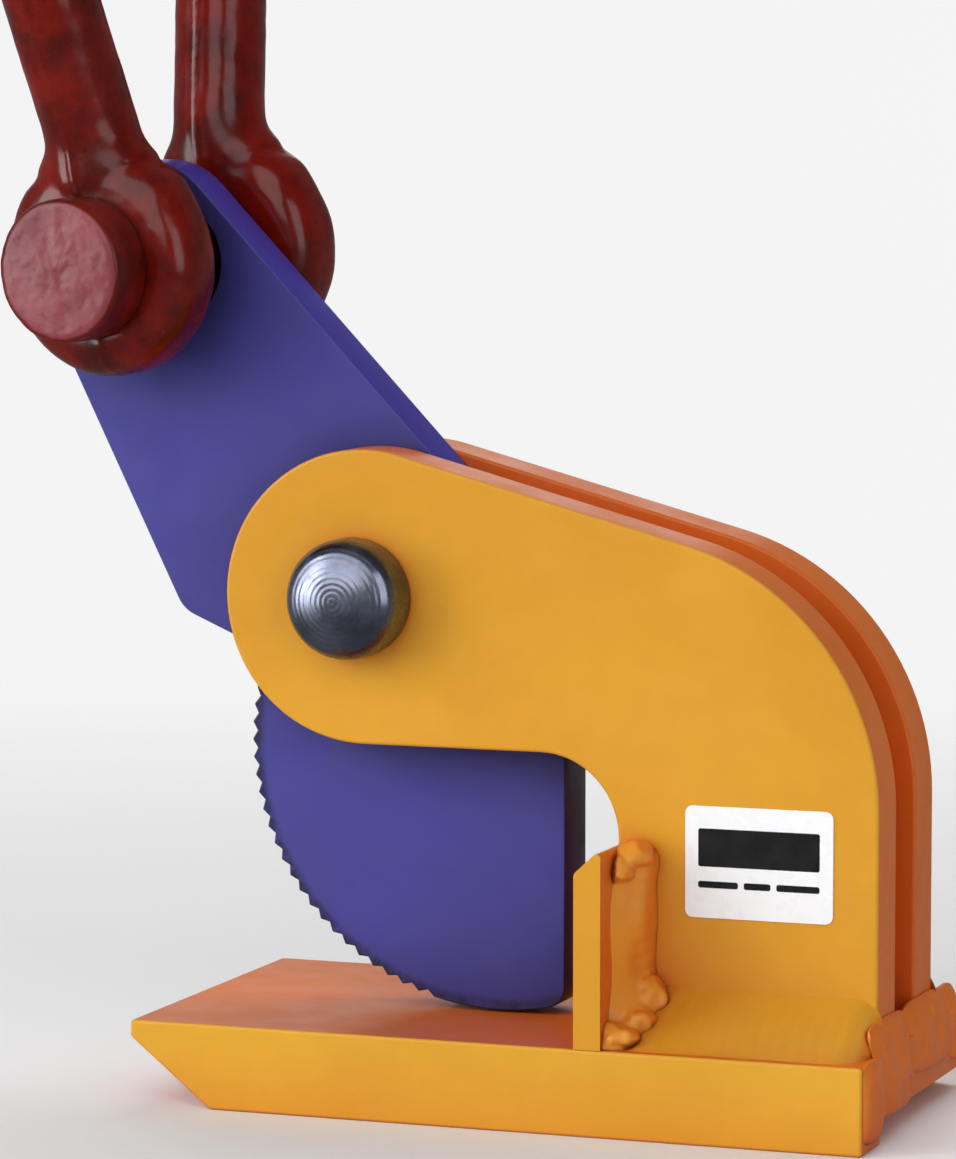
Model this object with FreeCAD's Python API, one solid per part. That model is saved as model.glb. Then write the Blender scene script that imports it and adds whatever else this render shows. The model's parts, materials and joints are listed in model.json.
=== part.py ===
import FreeCAD, Part
import math
import os

from FreeCAD import Vector

# Horizontal plate lifting clamp, in millimetres.
# +X runs from the nose to the closed back, +Y to the rear side plate, +Z up.
# The origin is on the base's underside, on the mid-plane, below the cam pivot.

# Base plate
BASE_THICKNESS = 20.0
BASE_WIDTH = 92.0
NOSE_X = -47.6
BACK_X = 129.5
NOSE_FLAT = 4.0
NOSE_BEVEL = 20.0
RELIEF_HEIGHT = 6.0
RELIEF_LENGTH = 10.0
RELIEF_FRONT_Y = -31.0
EDGE_ROUND = 0.8

# Side plates: the arm's round end is set a little behind the pivot
PIVOT_Z = 118.5
PLATE_THICKNESS = 15.0
PLATE_GAP = 16.0
ARM_RADIUS = 34.4
ARM_END_X = 1.8
ARM_SLOPE = math.radians(15.0)
PLATE_BACK_X = 126.5
BACK_RADIUS = 62.0
THROAT_X = 64.6
THROAT_RADIUS = 19.0

# Spacer bar between the side plates, clear of the cam's sweep
SPACER_X = (108.0, 118.0)
SPACER_TOP = 92.0

# Stop lugs beside the throat
STOP_X = (61.8, 68.2)
STOP_LOW_TOP = 60.0
STOP_TOP = 66.0

# Weld beads
FOOT_WELD_HEIGHT = 12.0
FOOT_WELD_REACH = 21.5
FOOT_WELD_END = 128.0
STOP_WELD_ON_PLATE = 6.0
STOP_WELD_ON_LUG = 10.0
STOP_WELD_TOP = 63.0
END_WELD_HALF = 40.0
END_WELD_TOP = 27.0
END_WELD_BOTTOM = 7.0
END_WELD_BULGE = 2.5

# Pivot pin with a domed head, washer and retaining ring
PIVOT_R = 10.0
RUNNING_CLEARANCE = 0.05
PIN_HEAD_R = 14.0
PIN_HEAD_HEIGHT = 11.0
PIN_DOME_HEIGHT = 3.5
PIN_TAIL = 9.0
WASHER_R = 16.0
WASHER_THICKNESS = 3.0
RING_THICKNESS = 1.2
RING_R = 13.0
GROOVE_R = 9.5
RING_INNER_R = 9.6

# Cam lever: one plate with a toothed cam below the pivot and a lug above it
LEVER_THICKNESS = 15.0
CAM_CENTRE = (29.75, 82.75)
CAM_RADIUS = 62.2
CAM_EDGE_X = 46.3
CAM_CORNER_RADIUS = 5.0
HEEL = (-50.3, 112.5)
HEEL_RADIUS = 8.0
HEEL_SLOPE = -0.434
LUG_LEFT_ANGLE = math.radians(116.3)
LUG_RIGHT_ANGLE = math.radians(133.5)
LUG_SHOULDER = (46.3, 116.2)
SHOULDER_RADIUS = 20.0
LUG_END_MARGIN = 25.5
LUG_END_RADIUS = 18.0
TOOTH_PITCH = 4.25
TOOTH_DEPTH = 1.15
TEETH_FROM = math.radians(165.0)
TEETH_TO = math.radians(257.0)
BUSH_R = 13.0
BUSH_LENGTH = 15.6

# Bow shackle, built about its own pin and hung a little askew in the lug's hole
SHACKLE_PIN_AT = (-55.3, 0.0, 196.2)
SHACKLE_LEAN = -7.5
SHACKLE_TILT = 2.5
SHACKLE_YAW = -10.0
SHACKLE_HOLE_R = 15.0
SHACKLE_HOLE_DROP = 1.2
BOW_R = 11.0
BOW_FOOT_Z = 18.5
JAW_WIDTH = 33.0
EYE_WIDTH = 20.0
EYE_R = 26.0
EYE_ROUND = 8.0
NECK_RADIUS = 14.0
NECK_STEPS = 5
NECK_END = 3.0
NECK_THINNER = 0.5
LEG_STRAIGHT_Z = 24.0
LEG_BEND_RADIUS = 40.0
LEG_FLARE = math.radians(16.0)
CROWN_RADIUS = 38.0
SHACKLE_PIN_R = 12.5
SHACKLE_HEAD_R = 16.8
SHACKLE_HEAD_HEIGHT = 13.0
SHACKLE_PIN_TAIL = 10.0
COTTER_R = 2.2
COTTER_GAP = 0.6
COTTER_OVERHANG = 2.0
COTTER_LOOP_R = 3.2
COTTER_WIRE_R = 1.3
COTTER_LEG = 9.0
COTTER_SPREAD = math.radians(34.0)

# Rating label, left blank
LABEL_X = (80.9, 116.0)
LABEL_Z = (48.0, 73.7)
LABEL_THICKNESS = 0.4
LABEL_CORNER = 1.8

PLATE_INNER = PLATE_GAP / 2
PLATE_OUTER = PLATE_INNER + PLATE_THICKNESS
HALF_WIDTH = BASE_WIDTH / 2
THROAT_Z = PIVOT_Z - ARM_RADIUS
HALF_LEVER = LEVER_THICKNESS / 2
EYE_OUTER = JAW_WIDTH / 2 + EYE_WIDTH
ALONG_Y = Vector(0, 1, 0)


def rounded_face(corners, plane="xz", at=0.0):
    """A flat face from corners (a, b, radius), each rounded by its own tangent arc."""

    def point(a, b):
        if plane == "xz":
            return Vector(a, at, b)
        if plane == "yz":
            return Vector(at, a, b)
        return Vector(a, b, at)

    edges = []
    last = None
    first = None
    count = len(corners)
    for i, (a, b, radius) in enumerate(corners):
        here = point(a, b)
        back = (point(*corners[i - 1][:2]) - here).normalize()
        ahead = (point(*corners[(i + 1) % count][:2]) - here).normalize()
        start = end = here
        arc = None
        if radius > 0:
            half = back.getAngle(ahead) / 2
            reach = radius / math.tan(half)
            start = here + back * reach
            end = here + ahead * reach
            middle = (back + ahead).normalize()
            depth = radius / math.sin(half) - radius
            arc = Part.Arc(start, here + middle * depth, end).toShape()
        if last is not None and (start - last).Length > 1e-6:
            edges.append(Part.LineSegment(last, start).toShape())
        if arc is not None:
            edges.append(arc)
        if first is None:
            first = start
        last = end
    if (first - last).Length > 1e-6:
        edges.append(Part.LineSegment(last, first).toShape())
    return Part.Face(Part.Wire(edges))


def slab(corners, y0, y1):
    """An XZ outline extruded from y0 to y1."""
    return rounded_face(corners, "xz", y0).extrude(Vector(0, y1 - y0, 0))


def rod(radius, y0, y1, x=0.0, z=0.0):
    """A cylinder along Y."""
    return Part.makeCylinder(radius, y1 - y0, Vector(x, y0, z), ALONG_Y)


def round_edges(shape, radius, wanted):
    """Round the edges that wanted(edge) picks."""
    return shape.makeFillet(radius, [e for e in shape.Edges if wanted(e)])


def mirrored(shape):
    """The same piece on the other side of the mid-plane."""
    return shape.mirror(Vector(0, 0, 0), ALONG_Y)


def base_plate():
    outline = [
        (NOSE_X, BASE_THICKNESS, 1.0),
        (NOSE_X, BASE_THICKNESS - NOSE_FLAT, 1.0),
        (NOSE_X + NOSE_BEVEL, 0, 2.0),
        (BACK_X, 0, EDGE_ROUND),
        (BACK_X, BASE_THICKNESS, EDGE_ROUND),
    ]
    plate = slab(outline, -HALF_WIDTH, HALF_WIDTH)
    plate = round_edges(plate, EDGE_ROUND, lambda e: abs(e.BoundBox.YLength) < 1e-6)
    relief = slab(
        [
            (BACK_X - RELIEF_LENGTH, 0, 0),
            (BACK_X + 1, 0, 0),
            (BACK_X + 1, RELIEF_HEIGHT * (1 + 1 / RELIEF_LENGTH), 0),
        ],
        RELIEF_FRONT_Y,
        HALF_WIDTH + 1,
    )
    return plate.cut(relief)


def arm_top(x):
    """Height of the side plates' sloping top edge at x."""
    crown = ARM_RADIUS / math.cos(ARM_SLOPE)
    return PIVOT_Z + crown - (x - ARM_END_X) * math.tan(ARM_SLOPE)


def side_plate():
    """The rear side plate: a round-ended arm over an open throat."""
    arm_left = ARM_END_X - ARM_RADIUS
    outline = [
        (arm_left, THROAT_Z, ARM_RADIUS),
        (arm_left, arm_top(arm_left), ARM_RADIUS),
        (PLATE_BACK_X, arm_top(PLATE_BACK_X), BACK_RADIUS),
        (PLATE_BACK_X, BASE_THICKNESS, 0),
        (THROAT_X, BASE_THICKNESS, 0),
        (THROAT_X, THROAT_Z, THROAT_RADIUS),
    ]
    plate = slab(outline, PLATE_INNER, PLATE_OUTER)

    def on_outline(edge):
        box = edge.BoundBox
        return box.YLength < 1e-6 and box.ZMax > BASE_THICKNESS + 1

    plate = round_edges(plate, EDGE_ROUND, on_outline)
    hole = rod(PIVOT_R + RUNNING_CLEARANCE, PLATE_INNER - 1, PLATE_OUTER + 1, 0, PIVOT_Z)
    return plate.cut(hole)


def back_spacer():
    outline = [
        (SPACER_X[0], BASE_THICKNESS, 0),
        (SPACER_X[1], BASE_THICKNESS, 0),
        (SPACER_X[1], SPACER_TOP, 2.0),
        (SPACER_X[0], SPACER_TOP, 2.0),
    ]
    return slab(outline, -PLATE_INNER, PLATE_INNER)


def stop_lug():
    """The rear stop lug: an upright bar with a sloping top."""
    outline = [
        (STOP_X[0], BASE_THICKNESS, 0),
        (STOP_X[1], BASE_THICKNESS, 0),
        (STOP_X[1], STOP_TOP, 1.0),
        (STOP_X[0], STOP_LOW_TOP, 1.5),
    ]
    return slab(outline, PLATE_OUTER, HALF_WIDTH - 0.2)


def foot_weld():
    """The rear fillet weld between the side plate's foot and the base's ledge."""
    section = [
        (PLATE_OUTER, BASE_THICKNESS, 0),
        (PLATE_OUTER + FOOT_WELD_REACH, BASE_THICKNESS, 0),
        (PLATE_OUTER + FOOT_WELD_REACH * 0.4, BASE_THICKNESS + FOOT_WELD_HEIGHT * 0.5, 30.0),
        (PLATE_OUTER, BASE_THICKNESS + FOOT_WELD_HEIGHT, 0),
    ]
    face = rounded_face(section, "yz", STOP_X[1])
    return face.extrude(Vector(FOOT_WELD_END - STOP_X[1], 0, 0))


def stop_weld():
    """The upright fillet weld between the rear stop lug and the side plate."""
    section = [
        (STOP_X[1], PLATE_OUTER, 0),
        (STOP_X[1] + STOP_WELD_ON_PLATE, PLATE_OUTER, 0),
        (STOP_X[1], PLATE_OUTER + STOP_WELD_ON_LUG, 0),
    ]
    face = rounded_face(section, "xy", BASE_THICKNESS)
    bead = face.extrude(Vector(0, 0, STOP_WELD_TOP - BASE_THICKNESS))
    return bead.cut(foot_weld())


def end_weld():
    """The weld across the closed end, from the plates' edges down over the base's end."""
    outer = BACK_X + END_WELD_BULGE
    outline = [
        (PLATE_BACK_X, BASE_THICKNESS, 0),
        (PLATE_BACK_X, END_WELD_TOP, 0),
        (outer, END_WELD_TOP - 3, 3.0),
        (outer, END_WELD_BOTTOM + 2, 3.0),
        (BACK_X, END_WELD_BOTTOM, 0),
        (BACK_X, BASE_THICKNESS, 0),
    ]
    bead = slab(outline, -END_WELD_HALF, END_WELD_HALF)
    return bead.cut(foot_weld()).cut(mirrored(foot_weld())).cut(base_plate())


def pivot_pin():
    head_face = -PLATE_OUTER - PIN_HEAD_HEIGHT
    shank = rod(PIVOT_R, -PLATE_OUTER, PLATE_OUTER + PIN_TAIL, 0, PIVOT_Z)
    shank = round_edges(shank, 1.0, lambda e: e.BoundBox.YMin > PLATE_OUTER + PIN_TAIL - 1e-3)
    head = rod(PIN_HEAD_R, head_face, -PLATE_OUTER, 0, PIVOT_Z)
    dome_r = (PIN_HEAD_R**2 + PIN_DOME_HEIGHT**2) / (2 * PIN_DOME_HEIGHT)
    ball = Part.makeSphere(dome_r, Vector(0, head_face - PIN_DOME_HEIGHT + dome_r, PIVOT_Z))
    reach = rod(PIN_HEAD_R, head_face - PIN_DOME_HEIGHT - 1, head_face, 0, PIVOT_Z)
    head = head.fuse(ball.common(reach)).removeSplitter()
    groove_y = PLATE_OUTER + WASHER_THICKNESS + 0.1
    groove = rod(PIVOT_R + 1, groove_y, groove_y + RING_THICKNESS + 0.1, 0, PIVOT_Z)
    groove = groove.cut(rod(GROOVE_R, groove_y, groove_y + RING_THICKNESS + 0.1, 0, PIVOT_Z))
    return shank.cut(groove).fuse(head).removeSplitter()


def pivot_washer():
    outer = rod(WASHER_R, PLATE_OUTER, PLATE_OUTER + WASHER_THICKNESS, 0, PIVOT_Z)
    outer = round_edges(outer, 0.5, lambda e: e.BoundBox.YMin > PLATE_OUTER + 1)
    return outer.cut(rod(PIVOT_R + 0.2, PLATE_OUTER - 1, PLATE_OUTER + 5, 0, PIVOT_Z))


def retaining_ring():
    """An open external retaining ring with two drilled ears."""
    y0 = PLATE_OUTER + WASHER_THICKNESS + 0.15
    y1 = y0 + RING_THICKNESS
    ring = rod(RING_R, y0, y1, 0, PIVOT_Z)
    ear_z = PIVOT_Z - RING_R - 0.5
    for side in (-1, 1):
        ring = ring.fuse(rod(2.6, y0, y1, side * 3.6, ear_z))
    ring = ring.cut(rod(RING_INNER_R, y0 - 1, y1 + 1, 0, PIVOT_Z))
    slot = Part.makeBox(2.4, 4, RING_R, Vector(-1.2, y0 - 1, PIVOT_Z - RING_R - 5))
    ring = ring.cut(slot)
    for side in (-1, 1):
        ring = ring.cut(rod(1.1, y0 - 1, y1 + 1, side * 3.6, ear_z))
    return ring.removeSplitter()


def shackle_placement():
    """Where the shackle's own axes stand in the clamp."""
    lean = FreeCAD.Rotation(ALONG_Y, SHACKLE_LEAN)
    tilt = FreeCAD.Rotation(Vector(1, 0, 0), SHACKLE_TILT)
    yaw = FreeCAD.Rotation(Vector(0, 0, 1), SHACKLE_YAW)
    return FreeCAD.Placement(Vector(*SHACKLE_PIN_AT), yaw.multiply(tilt).multiply(lean))


def lug_outline():
    """Corners of the lever's upper part, from the heel round the lug's end to the cam."""
    left = Vector(math.cos(LUG_LEFT_ANGLE), 0, math.sin(LUG_LEFT_ANGLE))
    right = Vector(math.cos(LUG_RIGHT_ANGLE), 0, math.sin(LUG_RIGHT_ANGLE))
    axis = (left + right).normalize()
    hole = Vector(SHACKLE_PIN_AT[0], 0, SHACKLE_PIN_AT[2] - SHACKLE_HOLE_DROP)
    end_at = hole.dot(axis) + LUG_END_MARGIN
    heel = Vector(HEEL[0], 0, HEEL[1])
    shoulder = Vector(LUG_SHOULDER[0], 0, LUG_SHOULDER[1])
    top_left = heel + left * ((end_at - heel.dot(axis)) / left.dot(axis))
    top_right = shoulder + right * ((end_at - shoulder.dot(axis)) / right.dot(axis))
    inside_x = CAM_CENTRE[0] - CAM_RADIUS + 5.0
    return [
        (heel.x, heel.z, HEEL_RADIUS),
        (top_left.x, top_left.z, LUG_END_RADIUS),
        (top_right.x, top_right.z, LUG_END_RADIUS),
        (shoulder.x, shoulder.z, SHOULDER_RADIUS),
        (shoulder.x, CAM_CENTRE[1], 0),
        (inside_x, heel.z + HEEL_SLOPE * (inside_x - heel.x), 0),
    ]


def cam_teeth():
    """V-shaped grooves along the cam's edge, as one cutting tool."""
    step = TOOTH_PITCH / CAM_RADIUS
    count = int((TEETH_TO - TEETH_FROM) / step)
    grooves = []
    for i in range(count):
        angle = TEETH_FROM + (i + 0.5) * step

        def at(radius, turn):
            x = CAM_CENTRE[0] + radius * math.cos(angle + turn)
            return (x, CAM_CENTRE[1] + radius * math.sin(angle + turn), 0)

        outer = CAM_RADIUS + TOOTH_DEPTH
        groove = [at(CAM_RADIUS - TOOTH_DEPTH, 0), at(outer, 0.9 * step), at(outer, -0.9 * step)]
        grooves.append(slab(groove, -HALF_LEVER - 1, HALF_LEVER + 1))
    return Part.makeCompound(grooves)


def cam_lever():
    lug = slab(lug_outline(), -HALF_LEVER, HALF_LEVER)

    def on_lug_edge(edge):
        box = edge.BoundBox
        return box.YLength < 1e-6 and (box.XMax < HEEL[0] + 12 or box.ZMin > LUG_SHOULDER[1])

    lug = round_edges(lug, EDGE_ROUND, on_lug_edge)
    disc = rod(CAM_RADIUS, -HALF_LEVER, HALF_LEVER, *CAM_CENTRE)
    limits = slab(
        [
            (CAM_CENTRE[0] - CAM_RADIUS - 1, 0, 0),
            (CAM_EDGE_X, 0, 0),
            (CAM_EDGE_X, LUG_SHOULDER[1] - SHOULDER_RADIUS, 0),
            (CAM_CENTRE[0] - CAM_RADIUS - 1, LUG_SHOULDER[1] - SHOULDER_RADIUS + 10, 0),
        ],
        -HALF_LEVER,
        HALF_LEVER,
    )
    cam = disc.common(limits)

    def lower_corner(edge):
        box = edge.BoundBox
        return box.YLength > 1 and box.XMin > CAM_EDGE_X - 1e-3 and box.ZMax < CAM_CENTRE[1] - 40

    cam = round_edges(cam, CAM_CORNER_RADIUS, lower_corner)
    lever = lug.fuse(cam).removeSplitter()
    lever = lever.cut(cam_teeth())
    lever = lever.cut(rod(BUSH_R, -HALF_LEVER - 1, HALF_LEVER + 1, 0, PIVOT_Z))
    hole_z = SHACKLE_PIN_AT[2] - SHACKLE_HOLE_DROP
    hole = rod(SHACKLE_HOLE_R, -HALF_LEVER - 1, HALF_LEVER + 1, SHACKLE_PIN_AT[0], hole_z)
    return lever.cut(hole)


def cam_bush():
    bush = rod(BUSH_R, -BUSH_LENGTH / 2, BUSH_LENGTH / 2, 0, PIVOT_Z)
    return bush.cut(rod(PIVOT_R + RUNNING_CLEARANCE, -HALF_LEVER - 1, HALF_LEVER + 1, 0, PIVOT_Z))


def bow_path():
    """The bar's centre line: straight above each eye, bent out, then round the crown."""
    eye_y = (JAW_WIDTH + EYE_WIDTH) / 2
    bend_y = eye_y + LEG_BEND_RADIUS
    half = LEG_FLARE / 2
    touch_y = CROWN_RADIUS * math.cos(LEG_FLARE)
    bent_y = bend_y - LEG_BEND_RADIUS * math.cos(LEG_FLARE)
    bent_z = LEG_STRAIGHT_Z + LEG_BEND_RADIUS * math.sin(LEG_FLARE)
    touch_z = bent_z + (touch_y - bent_y) / math.tan(LEG_FLARE)
    leg = [
        (eye_y, BOW_FOOT_Z),
        (eye_y, LEG_STRAIGHT_Z),
        (bend_y - LEG_BEND_RADIUS * math.cos(half), LEG_STRAIGHT_Z + LEG_BEND_RADIUS * math.sin(half)),
        (bent_y, bent_z),
        (touch_y, touch_z),
    ]
    crown = Vector(0, 0, touch_z + CROWN_RADIUS * (math.sin(LEG_FLARE) + 1))
    rear = [Vector(0, y, z) for y, z in leg]
    front = [Vector(0, -y, z) for y, z in leg]
    return Part.Wire(
        [
            Part.LineSegment(rear[0], rear[1]).toShape(),
            Part.Arc(rear[1], rear[2], rear[3]).toShape(),
            Part.LineSegment(rear[3], rear[4]).toShape(),
            Part.Arc(rear[4], crown, front[4]).toShape(),
            Part.LineSegment(front[4], front[3]).toShape(),
            Part.Arc(front[3], front[2], front[1]).toShape(),
            Part.LineSegment(front[1], front[0]).toShape(),
        ]
    )


def neck(side):
    """The taper from an eye into its leg: ellipses whose width follows a hollow of NECK_RADIUS.

    It stops NECK_END short of the hollow's end and is a little thinner than the bar, so its
    faces cross the bar's faces cleanly.
    """
    centre_x = BOW_R + NECK_RADIUS
    top = math.sqrt((EYE_R + NECK_RADIUS) ** 2 - centre_x**2)
    foot = EYE_R * top / (EYE_R + NECK_RADIUS)
    rings = []
    for i in range(NECK_STEPS):
        z = foot + (top - NECK_END - foot) * i / (NECK_STEPS - 1)
        half_width = centre_x - math.sqrt(NECK_RADIUS**2 - (top - z) ** 2)
        bend = max(z - LEG_STRAIGHT_Z, 0)
        shift = LEG_BEND_RADIUS - math.sqrt(LEG_BEND_RADIUS**2 - bend**2)
        centre = Vector(0, side * ((JAW_WIDTH + EYE_WIDTH) / 2 + shift), z)
        half_depth = ALONG_Y * (BOW_R - NECK_THINNER)
        ellipse = Part.Ellipse(centre + Vector(half_width, 0, 0), centre + half_depth, centre)
        rings.append(Part.Wire(ellipse.toShape()))
    return Part.makeLoft(rings, True)


def shackle_bow():
    """Two eyes joined by a round bar."""
    path = bow_path()
    foot = path.OrderedVertexes[0].Point
    section = Part.Wire(Part.makeCircle(BOW_R, foot, Vector(0, 0, 1)))
    bow = path.makePipeShell([section], True, False)
    for side in (-1, 1):
        eye_y = side * (JAW_WIDTH + EYE_WIDTH) / 2
        eye = rod(EYE_R, eye_y - EYE_WIDTH / 2, eye_y + EYE_WIDTH / 2)
        eye = round_edges(eye, EYE_ROUND, lambda e: abs(e.BoundBox.YLength) < 1e-6)
        bow = bow.fuse(eye).fuse(neck(side))
    return bow.cut(rod(SHACKLE_PIN_R + 0.1, -EYE_OUTER - 1, EYE_OUTER + 1))


def cotter_y():
    """Where the cotter crosses the shackle pin's tail, just outside the rear eye."""
    return EYE_OUTER + COTTER_GAP + COTTER_R


def shackle_pin():
    """A round-headed plain pin, drilled for a cotter beyond the rear eye."""
    head = rod(SHACKLE_HEAD_R, -EYE_OUTER - SHACKLE_HEAD_HEIGHT, -EYE_OUTER)
    head = round_edges(head, 1.2, lambda e: e.BoundBox.YMax < -EYE_OUTER - 1)
    tail_end = EYE_OUTER + SHACKLE_PIN_TAIL
    shank = rod(SHACKLE_PIN_R, -EYE_OUTER, tail_end)
    shank = round_edges(shank, 1.5, lambda e: e.BoundBox.YMin > tail_end - 1e-3)
    hole = Part.makeCylinder(
        COTTER_R + 0.1, 3 * SHACKLE_PIN_R, Vector(0, cotter_y(), -1.5 * SHACKLE_PIN_R), Vector(0, 0, 1)
    )
    return head.fuse(shank).removeSplitter().cut(hole)


def shackle_cotter():
    """A split pin: a looped eye above the pin and two legs that part below it."""
    y = cotter_y()
    end = SHACKLE_PIN_R + COTTER_OVERHANG
    cotter = Part.makeCylinder(COTTER_R, 2 * end, Vector(0, y, -end), Vector(0, 0, 1))
    loop_at = Vector(0, y, end + COTTER_LOOP_R)
    cotter = cotter.fuse(Part.makeTorus(COTTER_LOOP_R, COTTER_WIRE_R, loop_at, Vector(0, 1, 0)))
    for side in (-1, 1):
        along = Vector(side * math.sin(COTTER_SPREAD), 0, -math.cos(COTTER_SPREAD))
        start = Vector(side * (COTTER_R - COTTER_WIRE_R), y, COTTER_WIRE_R - end)
        cotter = cotter.fuse(Part.makeCylinder(COTTER_WIRE_R, COTTER_LEG, start, along))
    return cotter.removeSplitter()


def rating_label():
    corners = [
        (LABEL_X[0], LABEL_Z[0], LABEL_CORNER),
        (LABEL_X[1], LABEL_Z[0], LABEL_CORNER),
        (LABEL_X[1], LABEL_Z[1], LABEL_CORNER),
        (LABEL_X[0], LABEL_Z[1], LABEL_CORNER),
    ]
    return slab(corners, -PLATE_OUTER - LABEL_THICKNESS, -PLATE_OUTER)


def clamp_pieces():
    """Every node of the clamp body and the cam lever, by name."""
    return {
        "base_plate": base_plate(),
        "front_side_plate": mirrored(side_plate()),
        "rear_side_plate": side_plate(),
        "back_spacer": back_spacer(),
        "front_stop_lug": mirrored(stop_lug()),
        "rear_stop_lug": stop_lug(),
        "front_foot_weld": mirrored(foot_weld()),
        "rear_foot_weld": foot_weld(),
        "front_stop_weld": mirrored(stop_weld()),
        "rear_stop_weld": stop_weld(),
        "end_weld": end_weld(),
        "pivot_pin": pivot_pin(),
        "pivot_washer": pivot_washer(),
        "retaining_ring": retaining_ring(),
        "rating_label": rating_label(),
        "cam_lever": cam_lever(),
        "cam_bush": cam_bush(),
    }


def shackle_pieces():
    """Every node of the shackle, moved from its own axes to its place."""
    pieces = {
        "shackle_bow": shackle_bow(),
        "shackle_pin": shackle_pin(),
        "shackle_cotter": shackle_cotter(),
    }
    place = shackle_placement()
    for shape in pieces.values():
        shape.Placement = place.multiply(shape.Placement)
    return pieces


os.makedirs("parts", exist_ok=True)
for name, shape in {**clamp_pieces(), **shackle_pieces()}.items():
    shape.exportStep(f"parts/{name}.step")
    box = shape.BoundBox
    print(name, "valid" if shape.isValid() else "INVALID", len(shape.Solids), round(shape.Volume), box)
axis = shackle_placement().Rotation.multVec(ALONG_Y)
print("shackle pin axis", tuple(round(v, 6) for v in axis))
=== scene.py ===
import json
import math

import bmesh
import bpy
from mathutils import Matrix, Vector, noise

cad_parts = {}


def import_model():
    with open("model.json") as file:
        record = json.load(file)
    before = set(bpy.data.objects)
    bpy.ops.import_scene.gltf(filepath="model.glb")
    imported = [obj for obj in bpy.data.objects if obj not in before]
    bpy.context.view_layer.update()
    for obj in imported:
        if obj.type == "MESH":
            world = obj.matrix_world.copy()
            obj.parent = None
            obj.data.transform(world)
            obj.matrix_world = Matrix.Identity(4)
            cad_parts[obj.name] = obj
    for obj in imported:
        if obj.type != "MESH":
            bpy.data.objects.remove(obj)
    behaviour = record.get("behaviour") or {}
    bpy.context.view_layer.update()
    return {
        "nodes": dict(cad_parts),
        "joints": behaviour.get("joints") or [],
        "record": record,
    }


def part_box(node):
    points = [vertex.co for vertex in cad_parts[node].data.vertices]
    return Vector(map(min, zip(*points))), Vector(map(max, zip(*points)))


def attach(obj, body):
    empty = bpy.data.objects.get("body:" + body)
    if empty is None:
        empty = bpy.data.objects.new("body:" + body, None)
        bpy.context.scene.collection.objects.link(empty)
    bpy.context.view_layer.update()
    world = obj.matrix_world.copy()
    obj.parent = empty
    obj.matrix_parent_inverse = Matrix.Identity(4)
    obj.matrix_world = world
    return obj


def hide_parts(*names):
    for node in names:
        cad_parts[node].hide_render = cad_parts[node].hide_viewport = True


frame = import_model()

MM = 0.001

# The camera stands where the picture was taken from.
CAMERA_AT = (0.4372, -1.1202, 0.2340)
CAMERA_PITCH = 84.61
CAMERA_TURN = 20.34
LENS_MM = 158.55
SENSOR_MM = 36.0

# Colours, as sRGB from 0 to 1
YELLOW_FACE = (0.84, 0.60, 0.16)
# Painted shade: the darker, redder colour that faces turned away from Y take, for the shade that falls on
# edges and tops
YELLOW_SIDE_SHADE = (0.86, 0.44, 0.12)
BASE_FACE = (0.87, 0.65, 0.18)
# The stop weld's colours, lighter than the plates' paint: painted light for the shade the lug casts on the
# weld; its second colour is also painted shade on faces turned away from Y
LIT_WELD_FACE = (0.91, 0.60, 0.20)
LIT_WELD_SIDE_SHADE = (0.90, 0.51, 0.17)
END_WELD_FACE = (0.86, 0.50, 0.15)
# Painted shade in the creases between weld lumps
WELD_CREASE_SHADE = (0.30, 0.06, 0.02)
# Painted shade in corners and in the gap between the plates, one colour for each paint
YELLOW_CREVICE_SHADE = (0.80, 0.33, 0.10)
WELD_CREVICE_SHADE = (0.74, 0.30, 0.10)
BLUE_FACE = (0.27, 0.265, 0.58)
# Painted shade on the lever's faces turned away from Y
BLUE_SIDE_SHADE = (0.24, 0.20, 0.62)
# Painted shade in the lever's corners
BLUE_CREVICE_SHADE = (0.10, 0.08, 0.22)
RED_DARK = (0.29, 0.035, 0.014)
RED_LIGHT = (0.46, 0.065, 0.02)
# A painted highlight: the lighter, pinker colour of the shackle pin's flat head, for the lamps it reflects
PIN_FACE_HIGHLIGHT = (0.52, 0.22, 0.25)
CHROME = (0.50, 0.52, 0.59)
ZINC = (0.74, 0.75, 0.76)
SPRING = (0.30, 0.30, 0.32)
BRONZE = (0.72, 0.50, 0.27)
VINYL = (0.95, 0.96, 0.97)
INK = (0.05, 0.05, 0.06)
FLOOR = (0.93, 0.93, 0.93)
BACKDROP = (0.96, 0.96, 0.96)

# The floor is solid out to one radius and gone at the other, in metres.
FLOOR_SOLID = 0.26
FLOOR_RIM = 0.90
BACKDROP_RADIUS = 12.0

# Weld beads
BEAD_STEP = 0.5 * MM
BEAD_ACROSS = 16
SINK = 0.4 * MM

# The end weld's lobes: both sides and both heights in mm, how far the top leans in, the share of the bulge
END_WELD_LOBES = (
    (-45.4, -29.5, 1.5, 20.5, 0.0, 0.75),
    (-32.5, -2.0, 5.0, 27.0, 3.0, 1.0),
    (-4.5, 31.0, 10.0, 27.0, 3.0, 0.95),
    (28.0, 40.0, 8.0, 26.0, 3.0, 0.8),
)
# Gas pits in the end weld: their place across and up, radius and depth, in mm
END_WELD_CRATERS = (
    (-9.5, 10.0, 1.5, 1.4),
    (-6.5, 13.5, 0.9, 0.8),
    (-24.0, 21.0, 1.0, 0.7),
    (13.0, 23.0, 1.3, 1.0),
)

# The cam's toothed rim: its centre in X and Z, and where the scraped paint starts and is full
CAM_RIM = ((29.75 * MM, 82.75 * MM), 58.6 * MM, 61.2 * MM)

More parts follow.
